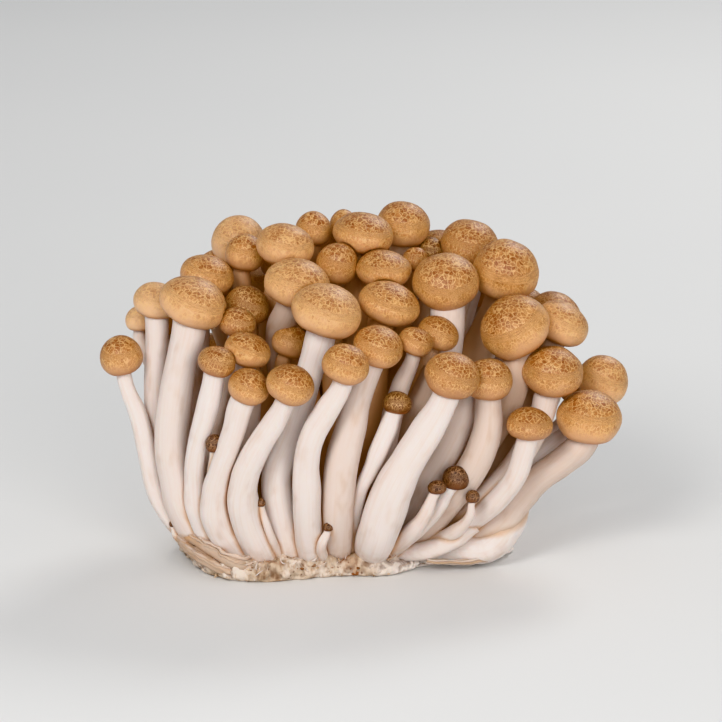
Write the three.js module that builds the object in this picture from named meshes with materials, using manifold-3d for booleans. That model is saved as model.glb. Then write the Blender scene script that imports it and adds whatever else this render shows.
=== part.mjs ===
// A cluster of beech mushrooms, cut from its block with the foot still on.
// Millimetres, +Z up, +X to the right and +Y to the back. The origin is the middle of the
// foot's flat underside, on which the cluster stands.

import * as THREE from 'three';
import { mergeVertices } from 'three/addons/utils/BufferGeometryUtils.js';
import Module from 'manifold-3d';

const wasm = await Module();
wasm.setup();

// ---------------------------------------------------------------- driving dimensions

const GAP = 0.35; // clearance between a stem's end and its cap's seat
const LEAST_GAP = 0.25; // clearance to which other solids are cut back
// The foot's underside in plan, anticlockwise from its left end.
const FOOT_PLAN = [
  [-43, 0], [-40.5, -8.5], [-38, -17], [-32.5, -23.5], [-24, -27], [-13, -25.5], [-2, -21.5],
  [9.5, -22], [17, -17], [24, -11], [34, -10.5], [40.5, -6.5], [43, 3], [38, 14], [26, 21],
  [8, 24.5], [-12, 24.5], [-29, 20.5], [-39, 12],
];
const FOOT = { height: 10.5, unevenness: 0.05 };
// The foot's outline from its underside up, as [height, width] shares: a crust, then the core
// that the inner stems grow out of.
const FOOT_OUTLINE = [[0, 1], [0.3, 1.05], [0.55, 1], [0.9, 0.8], [2, 0.42], [2.5, 0.15]];
const STEM_SIDES = { front: 6, inner: 5 };
const STEM_RINGS = { front: 7, inner: 4 };
const MOST_STEM_TOP = 1.1; // a stem's thickness under its cap, as a share of half the cap's width
// An inner stem: its thickness at four places from the foot up, as shares; how near the middle of
// the foot it starts, which is nearer for a high cap; where it bends; its straight neck.
const INNER_STEM = { foot: 1.3, knee: 1.25, neck: 0.85, top: 0.62 };
const ROOT = { height: 3, outwards: 0.62, inwardsForEachMm: 1 / 300 };
const KNEE = { upTheStem: 0.45, lift: 0.06 };
const NECK_LENGTH = 3;
const STEMS_TOLERANCE = 0.12; // surface detail smaller than this is left out of the stems
const GILL_RELIEF = 0.07; // rise and fall of the gills, as a share of half the cap's height
const CAP_SIDES = [[17, 12], [11, 10], [0, 8]]; // [from this width on, sides]

const COLOURS = {
  cap: { color: 0xc79a5f, roughness: 0.6 },
  pin: { color: 0x6e4428, roughness: 0.7 },
  stem: { color: 0xece2d6, roughness: 0.65 },
};

// A cap's half outline from the crown to the middle of the underside, as shares of half its
// width and half its height. From its last point the gills rise to the flat seat over the stem.
const CAP_OUTLINE = [[0, 1], [0.53, 0.83], [0.94, 0.25], [0.97, -0.4], [0.66, -0.87]];
const SEAT_LEVEL = -0.45; // as a share of half the cap's height
const MOST_SEAT = 0.58; // as a share of half the cap's width

// ---------------------------------------------------------------- the mushrooms

// Each row: node name; middle of the cap [x, y, z]; cap [width, height]; lean of the cap to
// [the right, the front] in degrees; the stem. A stem in full view is a list of points
// [x, y, z, thickness] from under the cap down to the foot. An inner stem is its thickness.
const FRONT = [
  ['cap_01', [-60, -10, 58.5], [11.5, 10], [-9, 8],
    [[-58.5, -10.5, 50, 4.2], [-55.5, -11, 42, 5.1], [-53, -12, 31, 5.3], [-51, -12, 21.5, 5.2],
      [-48, -12, 14.5, 4.6], [-42, -10, 6, 4.5]]],
  ['cap_02', [-55.5, 6, 64.5], [8, 6.7], [0, 0], 4.5],
  ['cap_03', [-50.5, -3, 72], [12.5, 9], [8, 5],
    [[-50.5, -4.5, 64, 6.4], [-51, -6, 50.5, 6.2], [-50.5, -7, 34, 5.8], [-47, -7, 17, 5.4],
      [-40, -6, 5, 5]]],
  ['cap_04', [-40, -14, 74.5], [18.5, 11.3], [20, 10],
    [[-41.5, -15, 66, 9.2], [-43.5, -16, 58.5, 8.6], [-45.5, -17, 48, 9], [-46.5, -17, 34, 8.6],
      [-45.5, -17, 25.5, 8], [-44, -16, 17.5, 8], [-37, -12, 5, 9]]],
  ['cap_05', [-37, 2, 78], [15, 9.4], [16, 0],
    [[-38.5, 1, 71, 5.5], [-40, -2, 56, 6.5], [-40, -5, 34, 7], [-33, -5, 5, 8]]],
  ['cap_06', [-29, 21.5, 82.5], [15, 13], [9, 10], 7],
  ['cap_07', [-27, 10, 82], [11, 9.5], [8, 5], 6],
  ['cap_08', [-16, 3, 86], [15.5, 10.6], [9, 8], 7],
  ['cap_09', [-12.5, -11, 79], [18, 11.6], [11, 8],
    [[-15, -9.5, 70.5, 7.6], [-17.5, -5, 65, 7], [-18, -1, 58.5, 6.8], [-17.5, 1, 51, 7],
      [-13, 2, 26, 7], [-9, 2, 5, 7]]],
  ['cap_10', [-4.5, -25, 75], [19.5, 12], [17, 8],
    [[-6.5, -24, 66.5, 8], [-8.5, -24, 60, 7.2], [-11.5, -24, 49.5, 7.2], [-15, -24.5, 39, 7.4],
      [-18, -24, 30, 8.2], [-17.5, -22, 20.5, 8.8], [-14.5, -16, 5, 9.5]]],
  ['cap_11', [-26, -2, 70.5], [12.5, 9.5], [19, 5], 6],
  ['cap_12', [-28.5, -15, 69], [10, 7.2], [11, 5],
    [[-29.5, -14.5, 63, 4], [-32, -13, 50, 5], [-36, -13, 32, 6], [-32, -9, 5, 7]]],
  ['cap_13', [-25.5, -24.5, 64], [12.5, 7.8], [17, 8],
    [[-26.3, -23.5, 57.5, 5.5], [-25.5, -22, 48, 6.6], [-27, -20, 38, 7.2], [-28, -16, 22, 7.2],
      [-25, -12, 5, 7.5]]],
  ['cap_14', [-33.5, -31, 62.5], [10, 7.3], [19, 8],
    [[-34.5, -30, 57, 5.6], [-36, -29, 50, 6], [-38, -27, 42, 5.8], [-39.5, -25, 35, 5.3],
      [-40, -22, 27, 5.4], [-39.5, -20, 19, 6.4], [-34, -15, 5, 8]]],
  ['cap_15', [-14.5, -9, 62], [9.5, 8.6], [19, 0], 5],
  ['cap_16', [-8.5, 17, 87], [10, 8.8], [5, 5], 6],
  ['cap_17', [-0.5, 24, 86.5], [8, 7.6], [0, 0], 5],
  ['cap_18', [5, 10, 87.5], [16.5, 9.9], [8, 5], 8],
  ['cap_19', [16, 23, 87], [15, 11.2], [7, 10], 7],
  ['cap_20', [-2, 2, 81], [11.5, 10.6], [13, 10], 6],
  ['cap_21', [10.5, 0, 80], [15, 9.1], [3, 5], 7],
  ['cap_22', [19, 12, 79.5], [7, 6.4], [10, 0], 4.5],
  ['cap_23', [12, -12, 73.5], [16.5, 9.9], [19, 8], 8],
  ['cap_24', [27, -5, 78], [18, 12.5], [2, 25],
    [[27.5, -6, 69, 9.4], [27, -7.5, 59, 9.4], [24.5, -9, 45, 9], [20, -9.5, 29, 8.8],
      [15, -9, 5, 8.5]]],
  ['cap_25', [34, 21, 82], [16.5, 11.7], [9, 10], 8],
  ['cap_26', [43.5, 4, 79], [18, 14.8], [9, 25], 9],
  ['cap_27', [23.5, 22, 79.5], [7.5, 6.8], [0, 0], 4.5],
  ['cap_28', [45, -11, 67], [19, 14.4], [-24, 18],
    [[47, -10, 60.5, 8], [46, -11.5, 56, 8], [45, -13, 50.5, 8], [43, -14, 44.5, 8],
      [39, -15, 37.5, 8], [32, -15, 27.5, 8], [22, -7, 5, 9]]],
  ['cap_29', [57.5, 16, 63.5], [15, 10.6], [21, 5], 6.5],
  ['cap_30', [58.5, -2, 65.5], [15.5, 10.4], [26, 5],
    [[55.5, -2, 58, 6.5], [52, -3, 48, 7], [46, -4, 35, 7], [36, -5, 20, 7.5], [22, -3, 5, 8]]],
  ['cap_31', [55.5, -14, 55.5], [16.5, 11.8], [5, 15],
    [[54, -14, 48, 7], [52.5, -15, 42.5, 6.8], [49.5, -16, 36, 6.7], [45, -17, 29, 6.7],
      [39, -17, 22, 6.7], [25, -8, 5, 7.5]]],
  ['cap_32', [70, 3, 48.5], [14, 12.3], [22, 10],
    [[69, 1, 42, 5.8], [63, -1, 35.5, 6], [55, -4, 30, 6.2], [47, -6, 23, 6.2], [33, -6, 5, 6.5]]],
  ['cap_33', [65.5, -15, 43], [18, 12.7], [6, 8],
    [[63.5, -14.5, 35, 8], [58.5, -14, 30, 7.6], [52.5, -14, 25.5, 7.6], [47, -14, 19.5, 8.4],
      [42, -13, 13, 9.5], [28, -7, 4.5, 9]]],
  ['cap_34', [9, -28, 66], [14, 9.5], [16, 12],
    [[6.5, -28, 59.5, 7], [3.5, -29, 51, 7.1], [1.5, -30, 43, 8.4], [-0.5, -30, 35, 9],
      [-1.5, -29, 27.5, 8.8], [-2, -26.5, 18.5, 8.2], [-2.5, -15.5, 5, 9]]],
  ['cap_35', [19, -22, 65.5], [9.5, 6.9], [23, 8],
    [[18, -21.5, 60.5, 4.2], [15, -21, 53, 5.2], [12.5, -20, 43.5, 5.8], [10.5, -19, 32, 5.8],
      [8, -16, 5, 5.5]]],
  ['cap_36', [25, -13, 65.5], [11.5, 8.1], [21, 5], 5.5],
  ['cap_37', [28.5, -33, 59.5], [15, 10.8], [20, 12],
    [[26.5, -33, 53, 7], [21, -33, 42.5, 9], [17, -33, 36, 9.4], [13, -32, 28, 10.8],
      [11, -30, 21.5, 11.4], [9, -26, 13.5, 10.8], [7, -15, 5, 10]]],
  ['cap_38', [38, -25, 56], [13.4, 10.4], [4, 5],
    [[38, -25, 49.5, 7], [38, -25, 43, 7.6], [36.5, -24.5, 37, 8], [33.5, -23, 30, 8.2],
      [28.5, -20, 22, 8.2], [17, -9, 5, 9]]],
  ['cap_39', [0.5, -39, 64], [12.5, 9.4], [14, 12],
    [[-0.5, -38, 58, 5.5], [-5, -37, 50, 6.5], [-8.5, -36, 43, 6.6], [-10, -34, 35, 6.9],
      [-10, -32, 27, 7.6], [-10, -28, 18.5, 7.6], [-8.5, -18, 5, 9]]],
  ['cap_40', [-25, -34, 56.5], [11.5, 8.3], [19, 12],
    [[-27.5, -33, 50, 6.6], [-29, -32, 44, 6.3], [-31, -31, 38, 6.2], [-33, -29.5, 32, 6.1],
      [-34.5, -27, 25.5, 7], [-34.5, -24, 17.5, 8.2], [-28, -17, 5, 9.5]]],
  ['cap_41', [-14, -39, 58.5], [13, 9.3], [20, 14],
    [[-16, -37.5, 52, 5.8], [-18.5, -36, 47, 6.6], [-21.5, -35, 42, 6.6], [-24.5, -33.5, 36, 6.9],
      [-26.5, -31.5, 30, 7.4], [-27, -28, 22, 8.8], [-22, -18, 5, 10.5]]],
  ['cap_42', [49, -26, 44], [12.5, 7.8], [5, 5],
    [[48.5, -26, 39, 5.6], [47.5, -25.5, 35, 5.8], [46, -25, 30, 5.9], [43, -23, 24.5, 5.9],
      [38, -19, 18, 6.2], [23, -8, 4.5, 7]]],
  ['cap_43', [14, -27, 50], [7.5, 5.8], [6, 0],
    [[13, -27, 47, 4.4], [11.5, -27, 42.5, 5.2], [9, -27, 36.5, 5.2], [7, -26.5, 31.5, 4.4],
      [4.5, -26, 26, 3.7], [2, -16, 5, 3.5]]],
];

// Young mushrooms with dark heads, low in the cluster. Those without a node name are so small
// that their heads stay one with the stems.
const PINS = [
  ['pin_1', [-34.5, -29.5, 39.5], [4.8, 4.8], [0, 0],
    [[-34.5, -29.3, 36.2, 2.4], [-35, -28, 31.5, 2.8], [-35.5, -24, 22, 2.6], [-34, -18, 10, 3]]],
  ['pin_2', [29.5, -26, 29], [7, 6.4], [0, 0],
    [[27.5, -26, 25, 3.4], [25.5, -25.5, 21, 3.7], [22, -24, 16, 3.8], [13, -13, 5, 4.5]]],
  ['pin_3', [24.5, -30, 27.5], [5, 3.6], [0, 0],
    [[23.5, -30, 25, 2.8], [21.5, -29.5, 20, 3.7], [18, -26, 14, 5], [11, -15, 4.5, 5.5]]],
  ['pin_4', [34, -27, 24], [3.8, 3.4], [0, 0],
    [[33.7, -27, 22, 1.8], [33.4, -26, 18.5, 2.4], [29, -21, 12, 3.8], [18, -10, 5, 4.5]]],
  [null, [-22.2, -29, 22.9], [2.4, 2.2], [0, 0],
    [[-22.1, -28.5, 21, 1.8], [-20.5, -27, 15, 2.2], [-18, -21, 6, 2.6]]],
  [null, [-4.4, -29, 16.2], [2.8, 2.4], [0, 0],
    [[-4.6, -28.5, 14.6, 2], [-6, -28, 11.5, 2.6], [-6, -21, 5, 3.2]]],
  [null, [-46.4, -14, 12.5], [2, 2], [0, 0],
    [[-46.3, -14, 11.5, 1.6], [-45, -13, 8, 2.2], [-40, -10, 5, 2.8]]],
];

// The back of the cluster. Neighbours here press together, and each such bunch is one node.
const BACK = [
  ['caps_back_01', [-38, 17, 70.5], [13, 9.5], [-18, -15], 6],
  ['caps_back_01', [-34.5, 26, 74], [14, 10], [-12, -18], 6.5],
  ['caps_back_02', [-17, 17, 77.5], [12, 9], [-3, 0], 5.5],
  ['caps_back_02', [-17, 28, 79], [15, 11], [-5, -20], 7],
  ['caps_back_02', [-5.5, 31, 80], [14, 10], [0, -22], 6.5],
  ['caps_back_03', [14, 33, 79], [15, 11], [5, -22], 7],
  ['caps_back_03', [26, 31, 78], [14, 10], [8, -20], 6.5],
  ['caps_back_03', [36.5, 28.5, 75], [14, 10.4], [12, -18], 6.5],
  ['caps_back_03', [46.5, 22.5, 72], [12, 9], [15, -15], 6],
  ['caps_back_04', [-51, 13, 61], [12, 9], [-25, -15], 6],
  ['caps_back_04', [-46, 22.5, 60], [14, 10], [-20, -22], 6.5],
  ['caps_back_05', [-24.5, 36.5, 66], [15, 11], [-10, -28], 7],
  ['caps_back_05', [-11.5, 38.5, 66.5], [16, 11.5], [-5, -30], 7.5],
  ['caps_back_06', [7.5, 40, 67], [15, 11], [0, -30], 7],
  ['caps_back_06', [19.5, 39.5, 66], [15, 10.5], [6, -30], 7],
  ['caps_back_07', [39, 35, 64], [15, 11], [12, -25], 7],
  ['caps_back_07', [49.5, 30, 62], [13, 10], [20, -20], 6.5],
  ['caps_back_08', [-44.5, 25.5, 47], [11, 8], [-25, -25], 5.5],
  ['caps_back_08', [-37.5, 32.5, 48.5], [13, 9], [-18, -32], 6],
  ['caps_back_09', [-20.5, 40, 51], [14, 10], [-8, -38], 6.5],
  ['caps_back_09', [-9, 42, 51], [13, 9.5], [-3, -40], 6],
  ['caps_back_10', [8.5, 43.5, 50.5], [14, 10], [3, -40], 6.5],
  ['caps_back_10', [20.5, 42.5, 49.5], [13, 9.5], [10, -36], 6],
  ['caps_back_11', [36.5, 37.5, 48], [14, 10], [18, -30], 6.5],
  ['caps_back_11', [46.5, 33, 46.5], [13, 9.5], [26, -22], 6],
  ['caps_back_12', [59.5, 19, 44], [13, 9.5], [28, -16], 6],
  ['caps_back_12', [65, 9.5, 42.5], [13, 9], [28, -8], 6],
];

// Stems whose caps are gone: three under the other caps, then stumps along the foot's sides. Each
// is a list of points [x, y, z, thickness] from its free end down.
const STUMPS = [
  [[-20.5, 4, 77, 3.5], [-21, 5, 62, 6], [-18, 3, 35, 7], [-11, 2, 5, 7]],
  [[34, -17.5, 51.5, 5], [31.5, -18, 43, 7.2], [26.5, -17.5, 32, 7.6], [22.5, -16, 25, 7.6],
    [15, -10, 5, 8]],
  [[23.5, -14, 56, 5.5], [21, -14, 48, 7], [17.5, -14, 39, 7.5], [15, -14, 29.5, 7.5],
    [6, -11, 5, 8]],
  [[-47, -11, 11, 2.5], [-41.5, -17, 9.5, 3.6], [-35.5, -22.5, 7.5, 4.4], [-28.5, -26.5, 5, 4.6],
    [-24, -21, 3.5, 5]],
  [[-45.5, -13, 8.5, 2.6], [-41.5, -18, 6, 3.8], [-37, -22.5, 4.5, 4.4], [-30, -25, 2.4, 4.6],
    [-24, -20, 3, 5]],
  [[47, -12, 19.5, 7], [43.8, -12.5, 12, 9.5], [38.5, -13, 6, 9.5], [31.5, -13, 5, 8], [23, -9, 4, 7]],
  [[35.5, -18, 12.5, 2.5], [29.5, -19, 9.5, 5], [23, -18.5, 6.5, 5], [14, -15, 4, 4.5]],
];

const toMushroom = ([node, middle, [width, height], [right, front], stem]) => {
  const [toRight, toFront] = [right, front].map(THREE.MathUtils.degToRad);
  const axis = new THREE.Vector3(
    Math.sin(toRight), -Math.sin(toFront) * Math.cos(toRight), Math.cos(toFront) * Math.cos(toRight),
  );
  return { node, middle: new THREE.Vector3(...middle), radius: width / 2, half: height / 2, axis, stem };
};
const mushrooms = [...FRONT, ...PINS, ...BACK].map(toMushroom);

// ---------------------------------------------------------------- solids

// A number from 0 to 1 that depends on the seed alone.
function seededRandom(seed) {
  let state = seed;
  return () => {
    state = (state * 16807) % 2147483647;
    return state / 2147483647;
  };
}

function toSolid(geometry) {
  const merged = geometry.clone();
  merged.deleteAttribute('normal');
  merged.deleteAttribute('uv');
  const { attributes, index } = mergeVertices(merged, 1e-3);
  return new wasm.Manifold(new wasm.Mesh({
    numProp: 3,
    vertProperties: new Float32Array(attributes.position.array),
    triVerts: new Uint32Array(index.array),
  }));
}

function toGeometry(solid) {
  const { vertProperties, triVerts } = solid.getMesh();
  const geometry = new THREE.BufferGeometry();
  geometry.setAttribute('position', new THREE.BufferAttribute(vertProperties, 3));
  geometry.setIndex(new THREE.BufferAttribute(triVerts, 1));
  geometry.computeVertexNormals();
  return geometry;
}

// A closed surface over rings of points, each ring running the same way round, the first at
// the bottom. Its ends are closed by a point in the middle of the first and the last ring.
function ringSurface(rings) {
  const sides = rings[0].length;
  const middleOf = (ring) => ring.reduce((sum, p) => sum.add(p), new THREE.Vector3()).divideScalar(sides);
  const points = [...rings.flat(), middleOf(rings[0]), middleOf(rings.at(-1))];
  const [bottom, top] = [points.length - 2, points.length - 1];
  const index = [];
  for (let side = 0; side < sides; side += 1) {
    const next = (side + 1) % sides;
    for (let ring = 0; ring < rings.length - 1; ring += 1) {
      const [a, b] = [ring * sides + side, ring * sides + next];
      index.push(a, b, b + sides, a, b + sides, a + sides);
    }
    const lastRing = (rings.length - 1) * sides;
    index.push(bottom, next, side, top, lastRing + side, lastRing + next);
  }
  const geometry = new THREE.BufferGeometry().setFromPoints(points);
  geometry.setIndex(index);
  return geometry;
}

function place(geometry, { middle, axis }) {
  const turn = new THREE.Quaternion().setFromUnitVectors(new THREE.Vector3(0, 0, 1), axis);
  return geometry.applyQuaternion(turn).translate(middle.x, middle.y, middle.z);
}

// A cap, or with some growth the space that it keeps clear round itself. Its seat is as wide as
// the stem's top and its clearance.
function capGeometry(mushroom, growth = 0) {
  const { radius, half } = mushroom;
  const seat = Math.min(MOST_SEAT * radius, stemTopThickness(mushroom) / 2 + 2 * GAP) - growth;
  const seatLevel = SEAT_LEVEL * half - growth;
  const rim = CAP_OUTLINE.at(-1);
  const profile = [
    ...CAP_OUTLINE.map(([r, z]) => new THREE.Vector2(r * (radius + growth), z * (half + growth))),
    ...(growth > 0 ? [new THREE.Vector2(rim[0] * radius - growth, rim[1] * half - growth)] : []),
    new THREE.Vector2(seat, seatLevel), new THREE.Vector2(0, seatLevel),
  ].reverse();
  const [, sides] = CAP_SIDES.find(([width]) => radius * 2 >= width);
  const geometry = new THREE.LatheGeometry(profile, sides).rotateX(Math.PI / 2);
  // Every other side of the rim and of the seat's edge is pushed down: the gills.
  const position = geometry.getAttribute('position');
  const rimRing = growth > 0 ? 3 : 2;
  for (let i = 0; i < position.count; i += 1) {
    const [side, ring] = [Math.floor(i / profile.length), i % profile.length];
    if (side % 2 && ring > 0 && ring <= rimRing) position.setZ(i, position.getZ(i) - GILL_RELIEF * half);
  }
  return place(geometry, mushroom);
}

function stemTopThickness({ stem, radius }) {
  return Array.isArray(stem) ? Math.min(stem[0][3], radius * MOST_STEM_TOP) : stem * INNER_STEM.top;
}

const toKnot = ([x, y, z, thick]) => ({ at: new THREE.Vector3(x, y, z), thick });

// A stem's middle line, from the foot up to its cap's seat, as points with a thickness each.
function stemLine(mushroom) {
  const { middle, axis, half, stem } = mushroom;
  const seatDepth = -SEAT_LEVEL * half + GILL_RELIEF * half + GAP;
  const end = { at: middle.clone().addScaledVector(axis, -seatDepth), thick: stemTopThickness(mushroom) };
  if (Array.isArray(stem)) {
    return [...stem.map(toKnot).reverse(), end];
  }
  // An inner stem leaves the foot steeply and bends out to its cap.
  const outwards = ROOT.outwards - middle.z * ROOT.inwardsForEachMm;
  const root = new THREE.Vector3(middle.x * outwards, middle.y * outwards, ROOT.height);
  const neck = middle.clone().addScaledVector(axis, -half - NECK_LENGTH);
  const knee = new THREE.Vector3().lerpVectors(root, neck, KNEE.upTheStem);
  knee.setZ(knee.z + middle.z * KNEE.lift);
  return [
    { at: root, thick: stem * INNER_STEM.foot }, { at: knee, thick: stem * INNER_STEM.knee },
    { at: neck, thick: stem * INNER_STEM.neck }, end,
  ];
}

// A closed tube along the line. Its last ring faces the end direction, if there is one.
function tubeSolid(line, sides, mostRings, endDirection) {
  const curve = new THREE.CatmullRomCurve3(line.map(({ at }) => at), false, 'centripetal');
  const count = Math.min(mostRings, line.length + 2);
  const rings = Array.from({ length: count }, (_, ring) => {
    const share = ring / (count - 1);
    const along = share * (line.length - 1);
    const below = Math.min(Math.floor(along), line.length - 2);
    const radius = THREE.MathUtils.lerp(line[below].thick, line[below + 1].thick, along - below) / 2;
    const middle = curve.getPoint(share);
    const ahead = share === 1 && endDirection ? endDirection : curve.getTangent(share);
    const toBack = new THREE.Vector3(0, 1, 0).addScaledVector(ahead, -ahead.y).normalize();
    const toRight = new THREE.Vector3().crossVectors(toBack, ahead);
    return Array.from({ length: sides }, (__, side) => {
      const angle = (side / sides) * 2 * Math.PI;
      return middle.clone()
        .addScaledVector(toRight, radius * Math.cos(angle)).addScaledVector(toBack, radius * Math.sin(angle));
    });
  });
  return toSolid(ringSurface(rings));
}

function stemSolid(mushroom) {
  const kind = Array.isArray(mushroom.stem) ? 'front' : 'inner';
  return tubeSolid(stemLine(mushroom), STEM_SIDES[kind], STEM_RINGS[kind], mushroom.axis);
}

// The foot: an uneven lump with a flat underside.
function footSolid() {
  const random = seededRandom(7);
  const rings = FOOT_OUTLINE.map(([height, width]) => FOOT_PLAN.map(([x, y]) => {
    const lift = height > 0 ? (random() - 0.5) * FOOT.height * FOOT.unevenness : 0;
    return new THREE.Vector3(x * width, y * width, FOOT.height * height + lift);
  }));
  return toSolid(ringSurface(rings));
}

// ---------------------------------------------------------------- fitting them together

const near = (a, b) => a.middle.distanceTo(b.middle) < a.radius + b.radius + GAP;
const union = (solids) => solids.reduce((sum, solid) => sum.add(solid));
const largest = (solid) => solid.decompose()
  .reduce((best, piece) => (piece.volume() > best.volume() ? piece : best));

const capped = mushrooms.filter(({ node }) => node);
const spaces = new Map(capped.map((mushroom) => [mushroom, toSolid(capGeometry(mushroom, LEAST_GAP))]));

// Where two caps press together, the one further back is dented by the one in front.
function capSolid(mushroom) {
  const inFront = capped.filter((other) => other.node !== mushroom.node
    && other.middle.y < mushroom.middle.y && near(other, mushroom));
  return inFront.reduce((solid, other) => solid.subtract(spaces.get(other)), toSolid(capGeometry(mushroom)));
}

// Stems stop short of their caps and go round those they meet. They grow together with one
// another and with the foot.
function clearOfCaps(mushroom) {
  const stem = stemSolid(mushroom);
  const { min, max } = stem.boundingBox();
  const box = new THREE.Box3(new THREE.Vector3(...min), new THREE.Vector3(...max));
  const met = capped.filter((other) => box.distanceToPoint(other.middle) < other.radius + GAP);
  return met.reduce((solid, other) => solid.subtract(spaces.get(other)), stem);
}

function stemsSolid() {
  const smallHeads = mushrooms.filter(({ node }) => !node).map((mushroom) => toSolid(capGeometry(mushroom)));
  const stumps = STUMPS.map((stump) => tubeSolid(stump.map(toKnot), STEM_SIDES.inner, STEM_RINGS.inner));
  const grown = union([footSolid(), ...mushrooms.map(clearOfCaps), ...stumps, ...smallHeads]);
  return largest(grown.trimByPlane([0, 0, 1], 0)).simplify(STEMS_TOLERANCE);
}

function namedMesh(name, solid, look) {
  const mesh = new THREE.Mesh(toGeometry(solid), new THREE.MeshStandardMaterial({ ...look, metalness: 0 }));
  mesh.name = name;
  return mesh;
}

const cluster = new THREE.Group();
cluster.add(namedMesh('stems', stemsSolid(), COLOURS.stem));
for (const node of new Set(capped.map((mushroom) => mushroom.node))) {
  const caps = capped.filter((mushroom) => mushroom.node === node).map(capSolid);
  cluster.add(namedMesh(node, union(caps), node.startsWith('pin') ? COLOURS.pin : COLOURS.cap));
}

export default cluster;
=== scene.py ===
"""A cluster of beech mushrooms with its cut foot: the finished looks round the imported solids.

Blender works in metres, and the dimensions below are millimetres, turned into metres by MM.
+Z is up, +X to the right, +Y to the back. The cluster stands on its foot's flat underside.
"""

import math
import random
from collections import namedtuple

import bmesh
import bpy
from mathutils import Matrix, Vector, kdtree, noise


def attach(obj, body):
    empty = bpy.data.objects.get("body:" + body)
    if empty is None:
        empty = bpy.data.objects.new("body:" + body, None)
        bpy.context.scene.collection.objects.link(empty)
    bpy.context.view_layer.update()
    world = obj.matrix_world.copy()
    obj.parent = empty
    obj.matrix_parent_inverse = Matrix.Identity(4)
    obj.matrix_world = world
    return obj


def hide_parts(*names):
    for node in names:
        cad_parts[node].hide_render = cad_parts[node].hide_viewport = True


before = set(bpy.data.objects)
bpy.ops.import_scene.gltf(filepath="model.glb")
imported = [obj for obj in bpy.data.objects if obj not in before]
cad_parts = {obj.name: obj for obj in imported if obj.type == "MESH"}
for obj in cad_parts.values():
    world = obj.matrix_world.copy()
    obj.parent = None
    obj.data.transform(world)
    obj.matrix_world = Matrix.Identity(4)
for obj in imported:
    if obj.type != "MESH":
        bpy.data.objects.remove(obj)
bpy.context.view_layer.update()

MM = 0.001
UP = Vector((0, 0, 1))
BODY = "root"

# ---------------------------------------------------------------- driving dimensions, mm and degrees

CAMERA = {"distance": 1200, "elevation": 15, "aim": (4.3, 0, 54), "sees": 195, "sensor": 36}
CLIPPING = 50, 20000  # the nearest and the furthest that the camera sees
FLOOR_WIDTH = 8000
# Each light's name, place in metres, width in metres, power in watts and tint.
LIGHTS = [
    ("key", (-0.42, -0.95, 0.75), 0.42, 8.4, (1, 0.985, 0.97)),
    ("fill", (0.35, -1.1, 0.42), 0.6, 6.8, (1, 0.985, 0.975)),
    ("rim_shade", (0.45, 0.75, 0.8), 0.4, 5, (1, 0.99, 0.98)),
]
ROOM_LIGHT = 0.48

# The first seed of each kind. A piece's seed makes its small irregularities its own.
SEEDS = {"front": 1, "pins": 101, "back": 201, "stumps": 301, "torn_edge": 309, "fibres": 400}
CRUMB_DRAW, FIBRE_DRAW, NOISE_DRAW = 5, 11, 7
# How far apart in a pattern one seed is from the next.
SEED_STEPS = {"skin": 7.3, "bumps": 3.1, "fibres": 5.7, "flutes": 9.1}

# A cap's half outline from the middle of its underside to its crown, in shares of half its width
# and half its height: the gills' bed, the inrolled rim, the side and the dome.
GILL_BED = [(0.16, -0.44), (0.26, -0.48), (0.37, -0.55), (0.46, -0.64), (0.53, -0.74)]
RIM = [(0.565, -0.83), (0.6, -0.885), (0.655, -0.905), (0.72, -0.885), (0.79, -0.825), (0.86, -0.725)]
SIDE = [
    (0.92, -0.6), (0.965, -0.46), (0.992, -0.31), (1.0, -0.17), (0.992, -0.02), (0.965, 0.14), (0.915, 0.3),
]
DOME = [
    (0.845, 0.45), (0.76, 0.58), (0.66, 0.7), (0.55, 0.8), (0.43, 0.88), (0.31, 0.94), (0.19, 0.98),
    (0.08, 0.996),
]
CAP_SIDES = 96
GILL_DEPTH = 0.13  # of a gill's edge below its bed, as a share of half the cap's height
CAP_BUMPS, CAP_UNEVENNESS = 4.5, 0.035  # how wide a soft bump is; its height, as a share
DENT_POWER, DENT_STEPS = 2.3, 7  # of the oval that dents a neighbour; halvings to find its side

STEM_SIDES, STEM_RINGS = 20, 36
STEM_INTO_CAP = 0.42  # how far under the cap's middle the stem ends, as a share of half its height
STRANDS, DRIED_CORE = 8, 0.7  # strands round a dried stump; its core's share of its thickness
STRAND = {"aside": (0.24, 0.42), "share": (0.14, 0.36)}  # of the stump's thickness
RUFFLE_WIDTH, RUFFLE = 1.7, 0.55  # of the strands' waves
FLUTES = 0.055  # rise and fall of a stem's surface, as a share of its thickness
SEAM_REACH, SEAM_SEARCH = 1.7, 7  # how far the painted contact shade and tan stain spread; how far off a touching stem's middle is
ROOT_HEIGHT = 3  # where an inner stem's lower end sits in the foot
NECK_BELOW_CAP = 3  # where an inner stem has turned into line with its cap
INNER_STEM = {"foot": 1.3, "knee": 1.25, "neck": 0.85, "top": 0.62}  # thickness, as shares

# The foot's underside in plan, anticlockwise from its left end.
FOOT_PLAN = [
    (-43, 0), (-40.5, -8.5), (-38, -17), (-32.5, -23.5), (-24, -27), (-13, -25.5), (-2, -21.5),
    (9.5, -22), (17, -17), (24, -11), (34, -10.5), (40.5, -6.5), (43, 3), (38, 14), (26, 21),
    (8, 24.5), (-12, 24.5), (-29, 20.5), (-39, 12),
]
FOOT_SIDES = 480
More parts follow.
